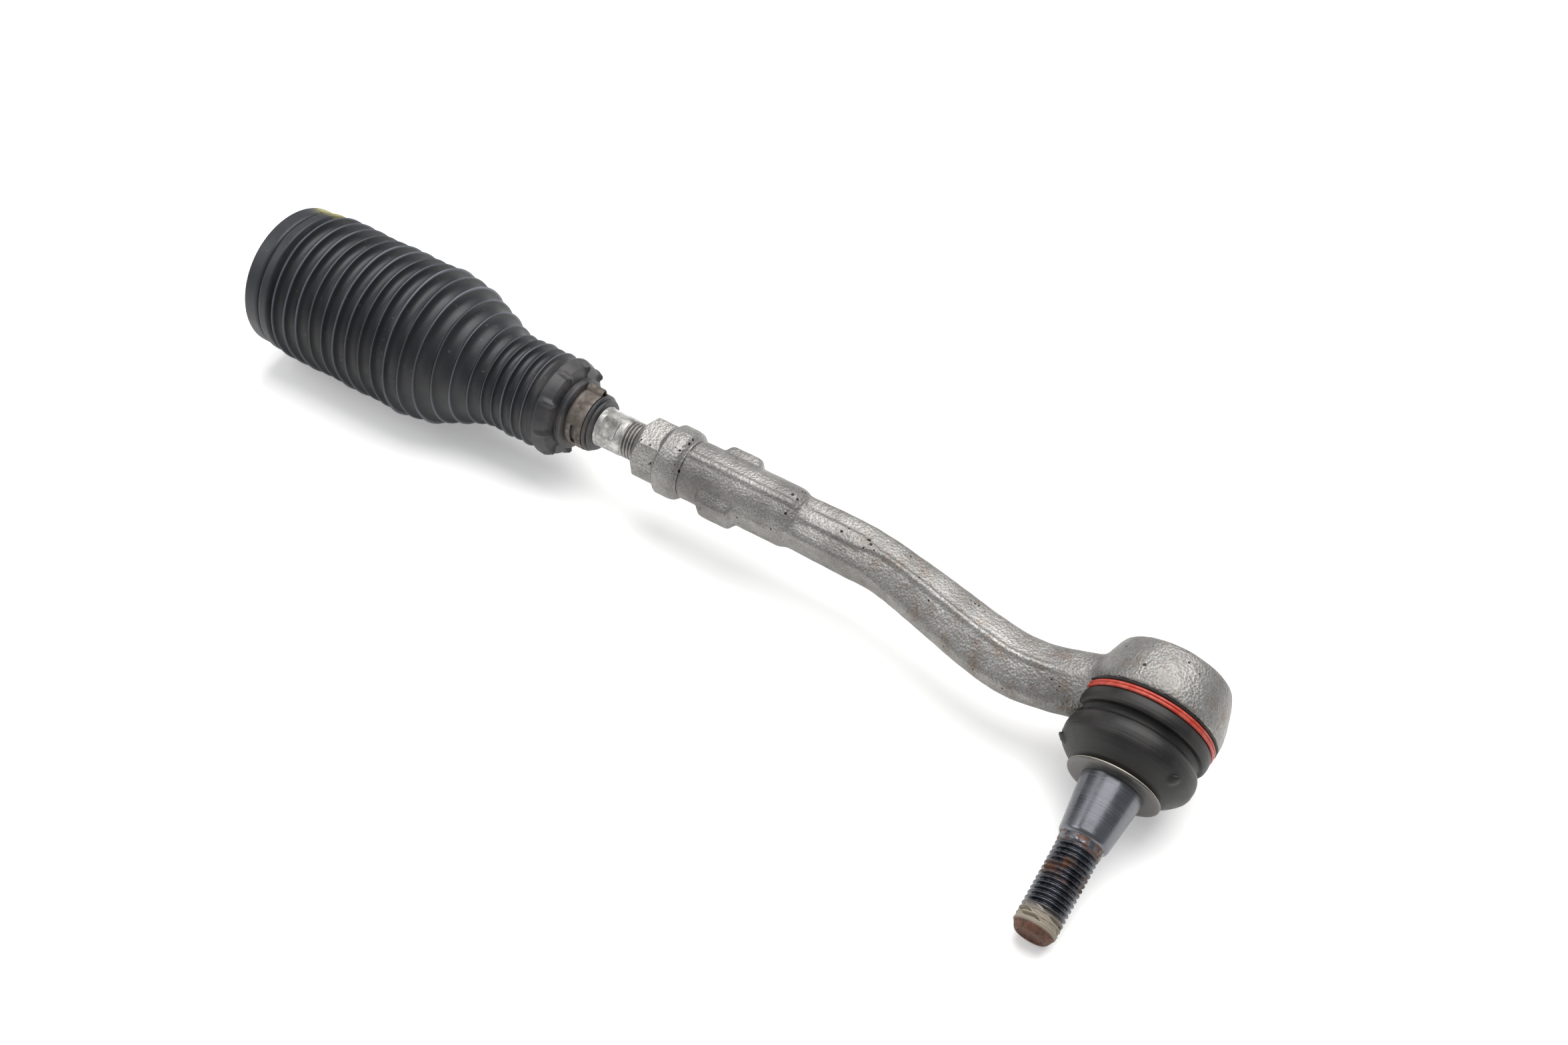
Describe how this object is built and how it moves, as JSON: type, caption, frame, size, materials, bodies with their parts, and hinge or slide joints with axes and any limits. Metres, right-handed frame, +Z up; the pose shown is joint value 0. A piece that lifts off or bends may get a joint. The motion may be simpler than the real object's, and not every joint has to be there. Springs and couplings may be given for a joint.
{
  "type": "tie rod end",
  "caption": "Steering tie rod end with a ball stud and dust boot on a bowed forged arm, a lock nut, a threaded rod and a folded rubber bellows over the inner joint.",
  "frame": {"origin": "centre of the outer ball", "axes": "+X along the rod from the steering rack towards the outer ball, +Z up as the part lies on a bench, ball stud towards -Y and tipped down 15.6 degrees"},
  "size_m": [0.4434, 0.1308, 0.0672],
  "materials": {
    "forged_aluminium": "matte",
    "zinc_steel": "satin",
    "polished_steel": "satin",
    "pressed_steel": "satin",
    "worn_band_steel": "matte",
    "red_coated_wire": "satin",
    "black_rubber": "satin",
    "black_bellows": "satin",
    "seat_polymer": "matte",
    "elastomer": "matte"
  },
  "bodies": {
    "outer_end": {"tie_rod_end_forging": "forged_aluminium", "ball_seat": "seat_polymer", "seat_preload_ring": "elastomer", "housing_end_cap": "pressed_steel", "boot_clamp_ring": "red_coated_wire"},
    "boot_body": {"dust_boot": "black_rubber"},
    "boot_mouth": {"boot_mouth_ring": "pressed_steel"},
    "stud": {"ball_stud": "polished_steel", "stud_disc": "pressed_steel"},
    "lock_nut": {"jam_nut": "forged_aluminium"},
    "bellows_neck_body": {"bellows_neck": "black_bellows", "bellows_folds": "black_bellows", "bellows_neck_clamp": "worn_band_steel"},
    "bellows_collar_body": {"bellows_collar": "black_bellows"},
    "rod": {"tie_rod": "zinc_steel"},
    "inner_seat": {"inner_ball_seat": "seat_polymer", "inner_spring_washer": "pressed_steel"},
    "inner_housing": {"inner_joint_housing": "zinc_steel"}
  },
  "joints": [
    {"name": "ball_swing_side", "type": "hinge", "parent": "outer_end", "child": "boot_body", "pos_m": [0, 0, 0], "axis": [0, -0.2695, 0.963], "range_deg": [-22, 22], "deforming": ["dust_boot"]},
    {"name": "ball_swing_lift", "type": "hinge", "parent": "boot_body", "child": "boot_mouth", "pos_m": [0, 0, 0], "axis": [1, 0, 0], "range_deg": [-22, 22]},
    {"name": "stud_spin", "type": "hinge", "parent": "boot_mouth", "child": "stud", "pos_m": [0, 0, 0], "axis": [0, -0.963, -0.2695], "continuous": true},
    {"name": "lock_nut_turn", "type": "hinge", "parent": "outer_end", "child": "lock_nut", "pos_m": [-0.2128, 0.00481, 0.00135], "axis": [1, 0, 0], "continuous": true},
    {"name": "toe_adjust", "type": "slide", "parent": "outer_end", "child": "bellows_neck_body", "axis": [1, 0, 0], "range_m": [-0.0075, 0.00375]},
    {"name": "bellows_stroke", "type": "slide", "parent": "bellows_neck_body", "child": "bellows_collar_body", "axis": [1, 0, 0], "range_m": [-0.05, 0.02], "stiffness_N_per_m": 150, "deforming": ["bellows_folds"]},
    {"name": "rod_turn", "type": "hinge", "parent": "bellows_neck_body", "child": "rod", "pos_m": [-0.2, 0.00481, 0.00135], "axis": [1, 0, 0], "range_deg": [-1800, 900]},
    {"name": "inner_swing", "type": "hinge", "parent": "rod", "child": "inner_seat", "pos_m": [-0.38, 0.00481, 0.00135], "axis": [0, -0.2695, 0.963], "range_deg": [-20, 20]},
    {"name": "inner_spin", "type": "hinge", "parent": "inner_seat", "child": "inner_housing", "pos_m": [-0.38, 0.00481, 0.00135], "axis": [1, 0, 0], "continuous": true}
  ],
  "couplings": [
    {"joint": "toe_adjust", "follows": "rod_turn", "m_per_rad": 0.00023873}
  ]
}
